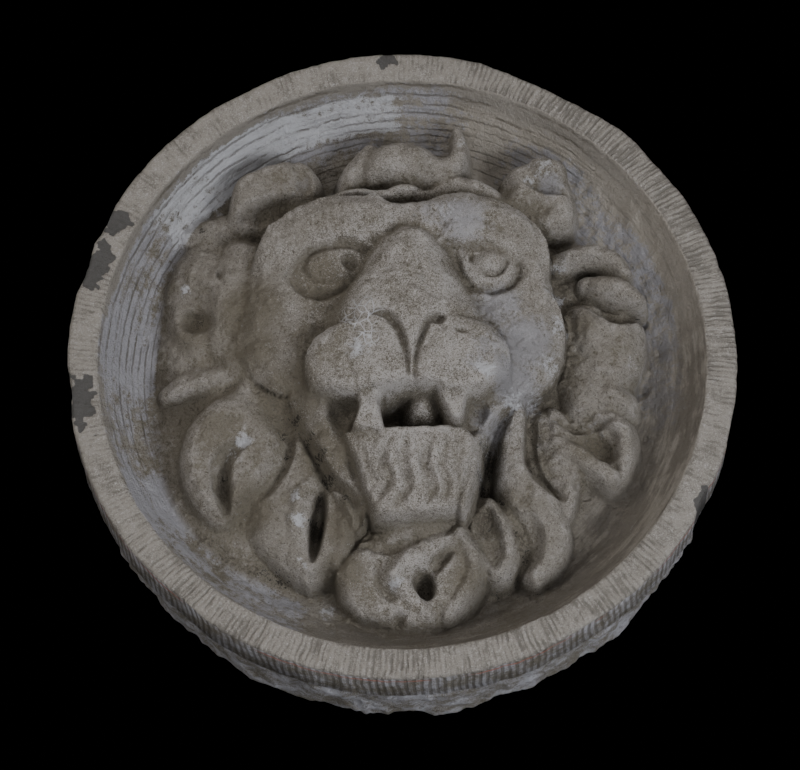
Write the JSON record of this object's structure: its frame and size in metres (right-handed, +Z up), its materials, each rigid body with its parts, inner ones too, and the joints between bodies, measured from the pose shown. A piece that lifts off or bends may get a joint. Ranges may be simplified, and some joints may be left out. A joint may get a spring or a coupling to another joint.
{
  "type": "lion head medallion",
  "caption": "Round stone medallion with a lion's head in high relief in a dished, flat-rimmed block, fixed to a wall by its flat back.",
  "frame": {"origin": "centre of the flat back face, where the block lies against the wall", "axes": "-Y out of the wall towards the viewer, +Z up to the top of the lion's head, +X to the viewer's right"},
  "size_m": [0.66, 0.2239, 0.66],
  "materials": {
    "stone": "weathered, chisel-dressed sandstone with lime and dirt"
  },
  "bodies": {
    "root": {"lion_medallion": "stone"}
  },
  "joints": []
}
